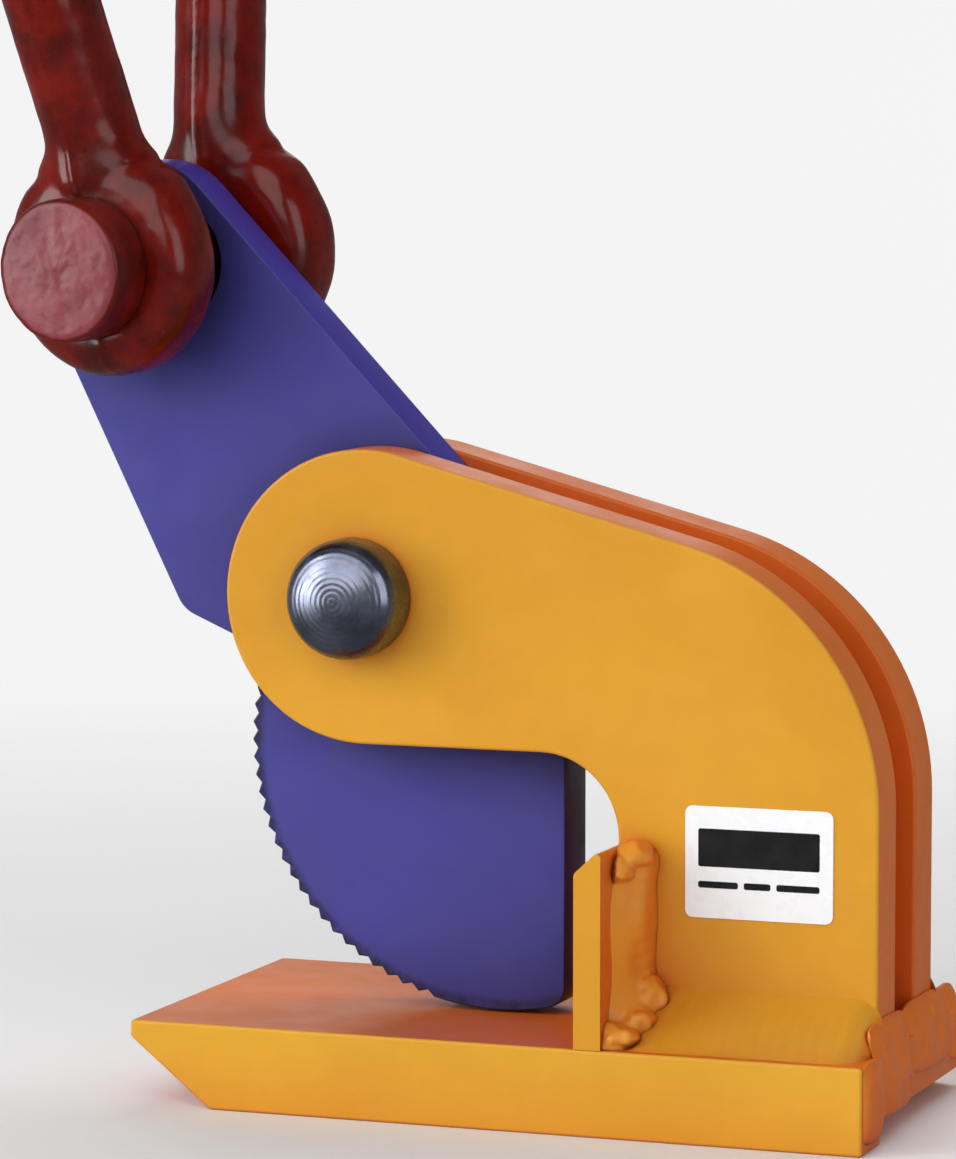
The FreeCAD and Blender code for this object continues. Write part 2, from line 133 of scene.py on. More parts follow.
# The label's bars: left, right, bottom and top, as shares of its width and height
LABEL_BARS = (
    (0.09, 0.91, 0.46, 0.80),
    (0.09, 0.36, 0.27, 0.33),
    (0.40, 0.58, 0.27, 0.33),
    (0.62, 0.91, 0.27, 0.33),
)

# Pins
SHACKLE_HEAD_HEIGHT = 13.0 * MM
SHACKLE_PIN_R = 12.5 * MM
PIVOT_SHANK_R = 10.0 * MM
PIVOT_GROOVE_R = 9.5 * MM

# The forging's necks flare by this much, round this height over the pin.
NECK_SWELL = 3.5 * MM
NECK_HEIGHT = 21.0 * MM
NECK_REACH = 6.5 * MM


# ---------------------------------------------------------------- materials


def linear(colour):
    """An sRGB colour as the linear RGBA that shaders take."""
    return tuple(c / 12.92 if c <= 0.04045 else ((c + 0.055) / 1.055) ** 2.4 for c in colour) + (1.0,)


class Finish:
    """One material's node tree, built a node at a time."""

    def __init__(self, name, **sockets):
        self.material = bpy.data.materials.new(name)
        self.material.use_nodes = True
        self.tree = self.material.node_tree
        self.shader = self.tree.nodes["Principled BSDF"]
        self.coords = self.add("TexCoord")
        for socket, value in sockets.items():
            self.shader.inputs[socket.replace("_", " ")].default_value = value

    def add(self, kind, inputs=None, **settings):
        """A new node, with its inputs linked or set."""
        node = self.tree.nodes.new("ShaderNode" + kind)
        for key, value in settings.items():
            setattr(node, key, value)
        for socket, value in (inputs or {}).items():
            self.put(node, socket, value)
        return node

    def put(self, node, socket, value):
        """Link or set one input."""
        if isinstance(value, bpy.types.NodeSocket):
            self.tree.links.new(value, node.inputs[socket])
        else:
            node.inputs[socket].default_value = value

    def noise(self, scale, detail, roughness):
        """A cloud texture in the object's own coordinates, scale to the metre."""
        where = self.coords.outputs["Object"]
        texture = self.add(
            "TexNoise", {"Vector": where, "Scale": scale, "Detail": detail, "Roughness": roughness}
        )
        return texture.outputs[0]

    def span(self, value, low, high, to_low=0.0, to_high=1.0):
        """value mapped from low..high to to_low..to_high, held at both ends."""
        node = self.add(
            "MapRange",
            {"Value": value, "From Min": low, "From Max": high, "To Min": to_low, "To Max": to_high},
            interpolation_type="SMOOTHSTEP",
        )
        return node.outputs[0]

    def math(self, operation, a, b=0.0):
        return self.add("Math", {0: a, 1: b}, operation=operation).outputs[0]

    def mix(self, share, a, b, blend="MIX"):
        node = self.add("Mix", {0: share, 6: a, 7: b}, data_type="RGBA", blend_type=blend)
        return node.outputs[2]

    def bump(self, height, distance, strength, below=None):
        """A normal raised by height, over another normal where one is given."""
        inputs = {"Height": height, "Distance": distance, "Strength": strength}
        if below is not None:
            inputs["Normal"] = below
        return self.add("Bump", inputs).outputs[0]

    def crevice(self, reach, amount):
        """1 in the open and lower in corners, as far as reach."""
        shade = self.add("AmbientOcclusion", {"Distance": reach}, samples=8).outputs["AO"]
        return self.span(shade, 0.22, 0.85, 1.0 - amount, 1.0)

    def finish(self, colour, roughness, normal=None):
        """The material, with its shader's main inputs filled in."""
        self.put(self.shader, "Base Color", colour)
        self.put(self.shader, "Roughness", roughness)
        if normal is not None:
            self.put(self.shader, "Normal", normal)
        return self.material


def enamel(name, face, edge, crevice_shade, lumps=0.0, crevice_shade_amount=0.9, rim=None, shaded_gap=None):
    """Brushed-on enamel with orange peel, and with painted shade: faces turned away from Y take the darker,
    redder edge colour for the shade that falls on them, and corners take the grime colour as painted shade.
    rim is the centre and the inner and outer radii of a toothed rim, where the paint is scraped and dark.
    inside is how far from the mid-plane the narrow gap between the side plates reaches; the faces within it
    are painted with the grime colour as shade."""
    f = Finish(name, Coat_Weight=0.05, Coat_Roughness=0.25, Specular_IOR_Level=0.28)
    # Painted shade: faces turned away from Y take the edge colour
    across = f.add("SeparateXYZ", {"Vector": f.coords.outputs["Normal"]}).outputs["Y"]
    flat = f.span(f.math("ABSOLUTE", across), 0.15, 0.48)
    colour = f.mix(flat, linear(edge), linear(face))
    cloud = f.span(f.noise(16, 4, 0.55), 0.3, 0.7)
    colour = f.mix(cloud, colour, f.mix(1.0, colour, (0.90, 0.86, 0.80, 1), "MULTIPLY"))
    mottle = f.span(f.noise(140, 5, 0.6), 0.35, 0.75, 0.0, 0.35)
    colour = f.mix(mottle, colour, f.mix(1.0, colour, (1.08, 1.10, 1.12, 1), "MULTIPLY"))
    # Painted shade: the grime colour in corners, where ambient occlusion is low
    colour = f.mix(f.crevice(34 * MM, crevice_shade_amount), linear(crevice_shade), colour)
    # Painted shade in the creases between weld lumps
    if lumps:
        colour = f.mix(f.crevice(5 * MM, 0.85), linear(WELD_CREASE_SHADE), colour)
    # Painted shade on the faces of the narrow gap between the side plates
    if shaded_gap is not None:
        deep = f.add("SeparateXYZ", {"Vector": f.coords.outputs["Object"]}).outputs["Y"]
        thin = f.span(f.math("ABSOLUTE", deep), shaded_gap, shaded_gap * 1.12, 0.85, 0.0)
        colour = f.mix(thin, colour, linear(crevice_shade))
    if rim is not None:
        centre, inner, outer = rim
        from_centre = {
            "Vector": f.coords.outputs["Object"],
            "Location": (-centre[0], 0, -centre[1]),
            "Scale": (1, 0, 1),
        }
        flat_place = f.add("Mapping", from_centre).outputs[0]
        away = f.add("VectorMath", {0: flat_place}, operation="LENGTH").outputs["Value"]
        within = f.span(away, outer * 1.05, outer * 1.06, 1, 0)
        scraped = f.math("MULTIPLY", f.span(away, inner, outer), within)
        blotchy = f.math("MULTIPLY", scraped, f.span(f.noise(260, 4, 0.7), 0.30, 0.60, 0.25, 0.9))
        colour = f.mix(blotchy, colour, (0.015, 0.012, 0.030, 1))
    gloss = f.span(f.noise(60, 4, 0.6), 0.3, 0.7, 0.30, 0.44)
    peel = f.bump(f.noise(420, 2, 0.4), 0.05 * MM, 0.5)
    normal = f.bump(f.noise(55, 3, 0.5), 0.25 * MM, 0.25 + lumps, below=peel)
    return f.finish(colour, gloss, normal)


def forged_paint(name, dark, light, roughness, pits, face=None):
    """Thick paint over a forging: mottled colour, broken gloss and scale pits, with painted shade near
    black in corners.
    face is a painted highlight: the lighter, pinker colour of the flat ends, for the lamps they reflect."""
    f = Finish(name, Coat_Weight=0.08, Coat_Roughness=0.12, Specular_IOR_Level=0.3)
    patches = f.span(f.noise(70, 5, 0.62), 0.32, 0.68)
    colour = f.mix(patches, linear(dark), linear(light))
    # A painted highlight: the flat ends take the lighter face colour
    if face is not None:
        across = f.add("SeparateXYZ", {"Vector": f.coords.outputs["Normal"]}).outputs["Y"]
        flat = f.span(f.math("ABSOLUTE", across), 0.86, 0.95)
        face_highlight = f.mix(patches, f.mix(1.0, linear(face), (0.72, 0.66, 0.66, 1), "MULTIPLY"), linear(face))
        colour = f.mix(flat, colour, face_highlight)
    specks = f.span(f.noise(520, 4, 0.7), 0.56, 0.70, 0.0, 0.6)
    colour = f.mix(specks, colour, f.mix(1.0, colour, (0.35, 0.30, 0.30, 1), "MULTIPLY"))
    # Painted shade: near black in corners
    colour = f.mix(f.crevice(6 * MM, 0.7), (0.012, 0.003, 0.002, 1), colour)
    gloss = f.span(f.noise(110, 4, 0.6), 0.3, 0.7, *roughness)
    fine = f.bump(f.noise(600, 3, 0.6), 0.12 * MM, pits)
    normal = f.bump(f.noise(110, 3, 0.5), 0.4 * MM, 0.22, below=fine)
    return f.finish(colour, gloss, normal)


def turned_steel(name, colour, centre, roughness, rings, depth=0.4):
    """Bright turned metal, with tool marks round an axis along Y through centre."""
    f = Finish(name, Metallic=1.0)
    where = f.add(
        "Mapping", {"Vector": f.coords.outputs["Object"], "Location": tuple(-c for c in centre)}
    ).outputs[0]
    marks = f.add(
        "TexWave",
        {"Vector": where, "Scale": rings, "Distortion": 0.6, "Detail": 2.0, "Detail Scale": 3.0},
        wave_type="RINGS",
        rings_direction="Y",
    ).outputs["Fac"]
    stain = f.span(f.noise(90, 4, 0.6), 0.35, 0.7)
    tone = f.mix(stain, linear(colour), f.mix(1.0, linear(colour), (0.55, 0.56, 0.60, 1), "MULTIPLY"))
    gloss = f.span(f.noise(160, 3, 0.6), 0.3, 0.7, *roughness)
    return f.finish(tone, gloss, f.bump(marks, 0.05 * MM, depth))


def plated(name, colour, roughness):
    """Plated or oiled steel with a fine satin grain and faint stains."""
    f = Finish(name, Metallic=1.0)
    stain = f.span(f.noise(120, 4, 0.6), 0.35, 0.7)
    tone = f.mix(stain, linear(colour), f.mix(1.0, linear(colour), (0.72, 0.70, 0.64, 1), "MULTIPLY"))
    gloss = f.span(f.noise(300, 3, 0.6), 0.3, 0.7, *roughness)
    return f.finish(tone, gloss, f.bump(f.noise(700, 3, 0.6), 0.03 * MM, 0.5))


def vinyl(name, colour):
    """Gloss label stock with faint handling marks."""
    f = Finish(name, Coat_Weight=0.4, Coat_Roughness=0.12)
    marks = f.span(f.noise(90, 5, 0.65), 0.45, 0.75, 0.0, 0.25)
    tone = f.mix(marks, linear(colour), f.mix(1.0, linear(colour), (0.90, 0.89, 0.86, 1), "MULTIPLY"))
    gloss = f.span(f.noise(200, 3, 0.5), 0.3, 0.7, 0.22, 0.36)
    return f.finish(tone, gloss, f.bump(f.noise(120, 2, 0.5), 0.05 * MM, 0.4))


def floor_paint(name, colour):
    """A pale matt floor that fades out towards its rim."""
    f = Finish(name, Specular_IOR_Level=0.2)
    cloud = f.span(f.noise(3, 3, 0.5), 0.3, 0.7)
    tone = f.mix(cloud, linear(colour), f.mix(1.0, linear(colour), (0.985, 0.985, 0.985, 1), "MULTIPLY"))
    f.finish(tone, f.span(f.noise(20, 2, 0.5), 0.3, 0.7, 0.75, 0.9))
    away = f.add("VectorMath", {0: f.coords.outputs["Object"]}, operation="LENGTH").outputs["Value"]
    f.put(f.shader, "Alpha", f.span(away, FLOOR_SOLID, FLOOR_RIM, 1.0, 0.0))
    return f.material


def backdrop_paint(name, colour):
    """A white surround that gives its own even light to the camera alone."""
    f = Finish(name, Emission_Strength=1.0, Specular_IOR_Level=0.0)
    cloud = f.span(f.noise(0.3, 2, 0.5), 0.3, 0.7)
    tone = f.mix(cloud, linear(colour), f.mix(1.0, linear(colour), (0.99, 0.99, 0.99, 1), "MULTIPLY"))
    f.put(f.shader, "Emission Color", tone)
    return f.finish((0, 0, 0, 1), 1.0)


def joint(name):
    """One joint's row in the frame."""
    return next(j for j in frame["joints"] if j["name"] == name)


PIVOT = Vector(joint("cam_pivot")["pos_m"])
YELLOW = enamel("yellow_enamel", YELLOW_FACE, YELLOW_SIDE_SHADE, YELLOW_CREVICE_SHADE)
YELLOW_PLATE = enamel("yellow_plate_enamel", YELLOW_FACE, YELLOW_SIDE_SHADE, YELLOW_CREVICE_SHADE, shaded_gap=8.2 * MM)
YELLOW_BASE = enamel("yellow_base_enamel", BASE_FACE, YELLOW_SIDE_SHADE, YELLOW_CREVICE_SHADE, crevice_shade_amount=0.55)
YELLOW_WELD = enamel("yellow_weld_enamel", YELLOW_FACE, YELLOW_SIDE_SHADE, YELLOW_CREVICE_SHADE, lumps=0.3)
END_WELD = enamel("end_weld_enamel", END_WELD_FACE, YELLOW_SIDE_SHADE, YELLOW_CREVICE_SHADE, lumps=0.35)
# The stop weld's paint is lighter than the plates': painted light for the shade the lug casts on it
STOP_WELD = enamel("orange_weld_enamel", LIT_WELD_FACE, LIT_WELD_SIDE_SHADE, WELD_CREVICE_SHADE, lumps=0.35, crevice_shade_amount=0.5)
BLUE = enamel("blue_enamel", BLUE_FACE, BLUE_SIDE_SHADE, BLUE_CREVICE_SHADE, rim=CAM_RIM)
RED = forged_paint("red_forging_paint", RED_DARK, RED_LIGHT, (0.16, 0.30), 0.12)
RED_PIN = forged_paint("red_pin_paint", RED_DARK, RED_LIGHT, (0.30, 0.50), 0.8, face=PIN_FACE_HIGHLIGHT)
BRIGHT = turned_steel("bright_turned_steel", CHROME, PIVOT, (0.22, 0.36), 240, 0.75)
ZINC_PLATE = plated("zinc_plate", ZINC, (0.28, 0.42))
OILED = plated("oiled_spring_steel", SPRING, (0.25, 0.38))
BRONZE_BUSH = turned_steel("turned_bronze", BRONZE, PIVOT, (0.22, 0.36), 300)
LABEL_STOCK = vinyl("label_vinyl", VINYL)
LABEL_INK = vinyl("label_ink", INK)
FLOOR_PAINT = floor_paint("pale_floor", FLOOR)
BACKDROP_PAINT = backdrop_paint("white_backdrop", BACKDROP)


# ------------------------------------------------------------------- meshes


def add_mesh(name, mesh, material, body, smooth_angle=40.0):
    """Link a finished mesh as a piece that rides on a body."""
    mesh.name = name
    for polygon in mesh.polygons:
        polygon.use_smooth = True
    mesh.set_sharp_from_angle(angle=math.radians(smooth_angle))
    mesh.materials.clear()
    mesh.materials.append(material)
    piece = bpy.data.objects.new(name, mesh)
    bpy.context.scene.collection.objects.link(piece)
    if body:
        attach(piece, body)
    return piece


def mesh_from(points, faces):
    """A closed mesh with its faces turned outwards."""
    mesh = bpy.data.meshes.new("mesh")
    mesh.from_pydata([tuple(p) for p in points], [], faces)
    bm = bmesh.new()
    bm.from_mesh(mesh)
    bmesh.ops.recalc_face_normals(bm, faces=bm.faces)
    bm.to_mesh(mesh)
    bm.free()
    return mesh


def loft(rings):
    """A closed mesh through rings of equal count, capped at both ends."""
    count = len(rings[0])
    points = [p for ring in rings for p in ring]
    faces = []
    for i in range(len(rings) - 1):
        for k in range(count):
            after = (k + 1) % count
            a, b = i * count + k, i * count + after
            faces.append((a, b, b + count, a + count))
    faces.append(tuple(reversed(range(count))))
    faces.append(tuple(range((len(rings) - 1) * count, len(rings) * count)))
    return mesh_from(points, faces)


def join(meshes):
    """Several meshes as one."""
    bm = bmesh.new()
    for mesh in meshes:
        bm.from_mesh(mesh)
        bpy.data.meshes.remove(mesh)
    joined = bpy.data.meshes.new("joined")
    bm.to_mesh(joined)
    bm.free()
    return joined


def baked(obj):
    """An object's mesh with its modifiers or curve settings applied; the object is removed."""
    bpy.context.view_layer.update()
    depsgraph = bpy.context.evaluated_depsgraph_get()
    mesh = bpy.data.meshes.new_from_object(obj.evaluated_get(depsgraph))
    mesh.transform(obj.matrix_world)
    bpy.data.objects.remove(obj)
    return mesh


def scratch_object(data):
    """A linked object that is only there to be baked."""
    obj = bpy.data.objects.new("scratch", data)
    bpy.context.scene.collection.objects.link(obj)
    return obj


def run_together(mesh, voxel, rounds):
    """A mesh whose overlapping lumps are run into one smooth skin."""
    scratch = scratch_object(mesh)
    remesh = scratch.modifiers.new("voxels", "REMESH")
    remesh.mode = "VOXEL"
    remesh.voxel_size = voxel
    smooth = scratch.modifiers.new("run_together", "SMOOTH")
    smooth.factor = 0.6
    smooth.iterations = rounds
    skin = baked(scratch)
    bpy.data.meshes.remove(mesh)
    return skin


# -------------------------------------------------------------------- welds


def hump(s, at, width):
    """A smooth bump of height 1 round at."""
    return math.exp(-(((s - at) / width) ** 2))


def end_round(s, length, reach):
    """0 at both ends of a bead, rising to 1 over reach along a quarter circle."""
    left = min(s, length - s, reach) / reach
    return math.sqrt(max(0.0, 1 - (1 - left) ** 2))


def fillet_bead(root, along, face_a, face_b, length, shape, pitch, ripple, seed, hollow=1.0):
    """A rippled bead in the corner between two faces. shape(s) gives its two legs and its crown.
    A hollow above 1 draws the bead's surface in, so that it meets both faces more gently."""
    rings = []
    bow = 1 / (3 - hollow)
    steps = max(8, int(length / BEAD_STEP))
    for i in range(steps + 1):
        s = length * i / steps
        leg_a, leg_b, crown = shape(s)
        out = (face_a * leg_b + face_b * leg_a).normalized()
        here = root + along * s
        ring = [here - (face_a + face_b) * SINK]
        for k in range(BEAD_ACROSS + 1):
            t = k / BEAD_ACROSS
            arch = math.sin(math.pi * t)
            phase = (s / pitch + 0.55 * arch) % 1.0
            scale = (1 - abs(2 * phase - 1) ** 1.7) * arch**0.5
            drift = noise.noise(Vector((s * 90, t * 2.5, seed))) * arch
            height = crown * arch + ripple * scale + 3.0 * ripple * drift
            turn = math.pi / 2 * t
            across_a = 1 - t if hollow == 1 else (1 - math.sin(turn)) ** bow
            across_b = t if hollow == 1 else (1 - math.cos(turn)) ** bow
            on_face = face_a * leg_a * across_a + face_b * leg_b * across_b
            under = (face_b * (1 - t) ** 6 + face_a * t**6) * SINK
            ring.append(here + on_face + out * height - under)
        rings.append(ring)
    return loft(rings)


def pillow(corner, side_u, side_v, out, height, seed, steps=26, power=2.6):
    """A lobe of weld metal on a face: a closed mesh, domed over a rounded rectangle."""
    points = []
    for i in range(steps + 1):
        for k in range(steps + 1):
            u, v = 2 * i / steps - 1, 2 * k / steps - 1
            dome = (1 - abs(u) ** power) ** (1 / power) * (1 - abs(v) ** power) ** (1 / power)
            squeeze_u = u * (1 - 0.10 * abs(v) ** 3)
            squeeze_v = v * (1 - 0.12 * abs(u) ** 3)
            on_face = corner + side_u * (squeeze_u + 1) / 2 + side_v * (squeeze_v + 1) / 2
            rough = noise.noise(on_face * 160 + Vector((seed, 0, 0))) * 0.32 * height
            rough += noise.noise(on_face * 420 + Vector((0, seed, 0))) * 0.12 * height
            points.append(on_face + out * (dome * (height + rough) + (dome - 1) * SINK))
    row = steps + 1
    faces = [
        (i * row + k, i * row + k + 1, (i + 1) * row + k + 1, (i + 1) * row + k)
        for i in range(steps)
        for k in range(steps)
    ]
    rim = list(range(row)) + [i * row + steps for i in range(1, row)]
    rim += [steps * row + k for k in range(steps - 1, -1, -1)] + [i * row for i in range(steps - 1, 0, -1)]
    faces.append(tuple(rim))
    return mesh_from(points, faces)


def blob(centre, radii, seed):
    """A lump of spattered weld metal, round but uneven."""
    bm = bmesh.new()
    bmesh.ops.create_icosphere(bm, subdivisions=4, radius=1)
    for v in bm.verts:
        out = v.co.copy()
        swell = 1 + 0.22 * noise.noise(out * 1.7 + Vector((seed, 0, 0)))
        v.co = centre + Vector(out[i] * radii[i] * MM for i in range(3)) * swell
    mesh = bpy.data.meshes.new("blob")
    bm.to_mesh(mesh)
    bm.free()
    return mesh


UP = Vector((0, 0, 1))
BACKWARD = Vector((1, 0, 0))
BASE_LOW, BASE_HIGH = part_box("base_plate")
PLATE_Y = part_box("rear_side_plate")[1].y
LUG_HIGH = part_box("rear_stop_lug")[1]


def foot_weld(where, side):
    """The long fillet between a side plate's foot and the base's top."""
    low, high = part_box(f"{where}_foot_weld")
    reach = high.y - low.y
    height = high.z - low.z
    length = high.x - low.x

    def shape(s):
        full = 0.35 + 0.65 * end_round(s, length, 7 * MM)
        sway = 1 + 0.05 * noise.noise(Vector((s * 60, 3.1, side)))
        return reach * full * sway * 0.985, height * full * sway, 0.0

    bead = fillet_bead(
        Vector((low.x, side * PLATE_Y, low.z)),
        BACKWARD, Vector((0, side, 0)), UP, length, shape, 3.6 * MM, 0.10 * MM, 10 + side, hollow=1.5,
    )
    piece = add_mesh(f"{where}_foot_weld_bead", bead, YELLOW_WELD, "clamp_body")
    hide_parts(f"{where}_foot_weld")


def stop_weld(where, side):
    """The weld behind a stop lug: an upright bead swollen at both ends, lumps of spatter,
    and a short bead along the lug's foot, all run together."""
    outward = Vector((0, side, 0))
    low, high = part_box(f"{where}_stop_weld")
    leg_x = high.x - low.x
    leg_y = high.y - low.y
    foot = BASE_HIGH.z
    length = high.z - foot + 1.5 * MM
    run = LUG_HIGH.y - PLATE_Y - 1.0 * MM

    def upright(s):
        full = 0.25 + 0.75 * end_round(s, length, 3 * MM)
        top = hump(s, length - 4 * MM, 4 * MM)
        bottom = hump(s, 5 * MM, 6 * MM)
        uneven = 1 + 0.10 * noise.noise(Vector((s * 110, 7.7, side)))
        wide = leg_x * (1.0 + 0.12 * top + 0.55 * bottom) * full * uneven
        deep = leg_y * (1.55 - 0.20 * top + 0.25 * bottom) * full * uneven
        return wide, deep, (0.5 + 1.2 * top + 1.4 * bottom) * MM * full

    def along_foot(s):
        full = (0.2 + 0.8 * end_round(s, run, 3 * MM)) * MM
        lump = hump(s, run * 0.45, 3 * MM) + 0.8 * hump(s, run * 0.85, 2.5 * MM)
        return (4.6 + 1.2 * lump) * full, (5.5 + 1.0 * lump) * full, (0.8 + 0.8 * lump) * full

    root = Vector((low.x, side * PLATE_Y, foot))
    top_z = length / MM
    # The spatter: backward, outward and up from the root, and the three radii, in mm
    spatter = (
        (2.4, 6.0, top_z - 2.0, (4.4, 7.0, 3.6)),
        (1.4, 11.5, top_z - 4.5, (2.6, 4.6, 3.4)),
        (5.2, 3.6, 9.0, (4.6, 5.0, 5.6)),
        (4.2, 10.0, 4.6, (4.8, 5.6, 4.2)),
        (2.8, 16.5, 2.4, (4.6, 5.2, 3.0)),
    )
    beads = [
        fillet_bead(root, UP, BACKWARD, outward, length, upright, 3.4 * MM, 0.20 * MM, 20 + side),
        fillet_bead(root, outward, BACKWARD, UP, run, along_foot, 3.4 * MM, 0.22 * MM, 30 + side),
    ]
    for x, y, z, radii in spatter:
        at = root + BACKWARD * x * MM + outward * y * MM + UP * z * MM
        beads.append(blob(at, radii, z + side))
    bead = run_together(join(beads), 0.4 * MM, 10)
    piece = add_mesh(f"{where}_stop_weld_bead", bead, STOP_WELD, "clamp_body")
    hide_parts(f"{where}_stop_weld")


def end_weld():
    """The closed end's weld: lobes of metal side by side, from the plates' edges down the base's end.
    A lobe that stands above the base also has a rounded back there."""
    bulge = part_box("end_weld")[1].x - BASE_HIGH.x
    meshes = []
    for i, (y0, y1, z0, z1, lean, share) in enumerate(END_WELD_LOBES):
        corner = Vector((BASE_HIGH.x, y0 * MM, z0 * MM))
        side_u = Vector((0, (y1 - y0) * MM, 0))
        side_v = Vector((-lean * MM, 0, (z1 - z0) * MM))
        meshes.append(pillow(corner, side_u, side_v, BACKWARD, bulge * share, i))
        if z1 * MM > BASE_HIGH.z:
            corner.z = BASE_HIGH.z - 8 * MM
            side_v.z = z1 * MM - corner.z
            meshes.append(pillow(corner, side_u, side_v, -BACKWARD, 2.4 * MM, i + 7))
    skin = run_together(join(meshes), 0.45 * MM, 3)
    normals = [v.normal.copy() for v in skin.vertices]
    for v, normal in zip(skin.vertices, normals):
        for y, z, radius, depth in END_WELD_CRATERS:
            away = math.hypot(v.co.y / MM - y, v.co.z / MM - z)
            v.co.x -= depth * MM * hump(away, 0, radius) * max(0, normal.x)
    piece = add_mesh("end_weld_lobes", skin, END_WELD, "clamp_body")
    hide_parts("end_weld")


# ------------------------------------------------------------------ shackle


def shackle_axes():
    """The shackle's own axes at rest: Y along its pin, Z up through the bow."""
    swing = joint("shackle_swing")
    crown = next(m for m in frame["record"]["mounts"] if m["name"] == "shackle_crown")
    y = Vector(swing["axis"]).normalized()
    x = y.cross(Vector(crown["axis"])).normalized()
    z = x.cross(y)
    turn = Matrix((x, y, z)).transposed().to_4x4()
    return Matrix.Translation(Vector(swing["pos_m"])) @ turn


SHACKLE = shackle_axes()


def local_box(node):
    """A shackle node's box along the shackle's own axes."""
    inverse = SHACKLE.inverted()
    points = [inverse @ v.co for v in frame["nodes"][node].data.vertices]
    low = Vector(min(p[i] for p in points) for i in range(3))
    high = Vector(max(p[i] for p in points) for i in range(3))
    return low, high


def shackle_forging():
    """The bow as a forging: the CAD solid with its eyes, necks and bar run together, then made uneven.
    flash is the faint ridge where the two dies met, and smoothed is what the smoothing took off."""
    smoothed = 0.1 * MM
    mesh = run_together(frame["nodes"]["shackle_bow"].data.copy(), 0.85 * MM, 14)
    mesh.transform(SHACKLE.inverted())
    mesh.update()
    normals = [v.normal.copy() for v in mesh.vertices]
    for v, normal in zip(mesh.vertices, normals):
        p = v.co.copy()
        dents = noise.noise(p * 75) * 0.22 * MM + noise.noise(p * 230) * 0.10 * MM
        in_eye = math.hypot(p.x, p.z) < 17 * MM
        flash = 0.0 if in_eye else 0.35 * MM * hump(p.x, 0, 0.9 * MM) * abs(normal.y)
        neck = NECK_SWELL * hump(p.z, NECK_HEIGHT, NECK_REACH) * normal.x**2
        v.co = p + normal * (dents + flash + neck + smoothed)
    mesh.transform(SHACKLE)
    piece = add_mesh("shackle_forging", mesh, RED, "shackle", 80)
    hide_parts("shackle_bow")


def lathe(profile, segments):
    """A closed solid of revolution round local Y from (radius, y) points, first and last near the axis."""
    turns = [2 * math.pi * k / segments for k in range(segments)]
    return loft([
        [Vector((radius * math.sin(a), y, radius * math.cos(a))) for a in turns] for radius, y in profile
    ])


def shackle_pin():
    """The shackle pin: an upset round head with a slightly crowned, scale-marked face, and a plain tail."""
    low, high = local_box("shackle_pin")
    head_r = high.z
    shank_r = SHACKLE_PIN_R
    head_face = low.y
    head_back = low.y + SHACKLE_HEAD_HEIGHT
    tail = high.y
    crown = 0.35 * MM
    face_rings = 24
    profile = [(0.3 * MM, head_face + 0.05 * MM)]
    for i in range(1, face_rings + 1):
        r = (head_r - 2.0 * MM) * i / face_rings
        profile.append((r, head_face + 0.05 * MM + crown * (r / head_r) ** 2))
    profile += [
        (head_r - 1.2 * MM, head_face + 0.50 * MM),
        (head_r - 0.5 * MM, head_face + 0.85 * MM),
        (head_r - 0.1 * MM, head_face + 1.5 * MM),
        (head_r, head_face + 2.4 * MM),
        (head_r, head_back - 1.2 * MM),
        (head_r - 0.4 * MM, head_back),
        (shank_r, head_back),
        (shank_r, tail - 1.6 * MM),
        (shank_r - 0.5 * MM, tail - 0.5 * MM),
        (shank_r - 1.6 * MM, tail),
        (0.3 * MM, tail),
    ]
    mesh = lathe(profile, 112)
    bm = bmesh.new()
    bm.from_mesh(mesh)
    long_edges = [e for e in bm.edges if e.calc_length() > 3 * MM]
    bmesh.ops.subdivide_edges(bm, edges=long_edges, cuts=3, use_grid_fill=True)
    bmesh.ops.recalc_face_normals(bm, faces=bm.faces)
    for v in bm.verts:
        if v.co.y < head_back - 0.2 * MM:
            p = v.co
            dents = noise.noise(p * 230) * 0.16 + noise.noise(p * 620) * 0.09
            v.co = p + v.normal * (dents - 0.12) * MM
    bm.to_mesh(mesh)
    bm.free()
    mesh.transform(SHACKLE)
    piece = add_mesh("shackle_pin_forged", mesh, RED_PIN, "shackle", 50)
    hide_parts("shackle_pin")


def split_pin():
    """The split pin as bent wire: one eye and two legs that part, one a little shorter."""
    low, high = local_box("shackle_cotter")
    y = (low.y + high.y) / 2
    wire = 1.05 * MM
    pin_r = SHACKLE_PIN_R
    loop_r = 3.1 * MM
    loop_gap = 0.5
    loop_steps = 12
    top = high.z - loop_r - wire
    end_x = wire + 4.3195 * MM
    end_z = low.z + wire + 1.2 * MM
    leg = [
        (end_x, end_z),
        (wire + 2.2 * MM, -pin_r - 3.6 * MM),
        (wire, -pin_r - 0.5 * MM),
        (wire, 0),
        (wire, pin_r + 1.0 * MM),
    ]
    turns = [loop_gap + 2 * (math.pi - loop_gap) * i / loop_steps for i in range(loop_steps + 1)]
    loop = [(loop_r * math.sin(a), top - loop_r * math.cos(a)) for a in turns]
    other_leg = [(-x, z) for x, z in reversed(leg)]
    other_leg[-1] = (-end_x - 0.6 * MM, end_z + 1.0 * MM)
    path = leg + loop + other_leg
    curve = bpy.data.curves.new("wire", "CURVE")
    curve.dimensions = "3D"
    curve.bevel_depth = wire
    curve.bevel_resolution = 5
    curve.use_fill_caps = True
    curve.resolution_u = 8
    spline = curve.splines.new("NURBS")
    spline.points.add(len(path) - 1)
    for point, (x, z) in zip(spline.points, path):
        point.co = (*(SHACKLE @ Vector((x, y, z))), 1.0)
    spline.order_u = 3
    spline.use_endpoint_u = True
    mesh = baked(scratch_object(curve))
    bpy.data.curves.remove(curve)
    piece = add_mesh("split_pin_wire", mesh, ZINC_PLATE, "shackle", 60)
    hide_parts("shackle_cotter")


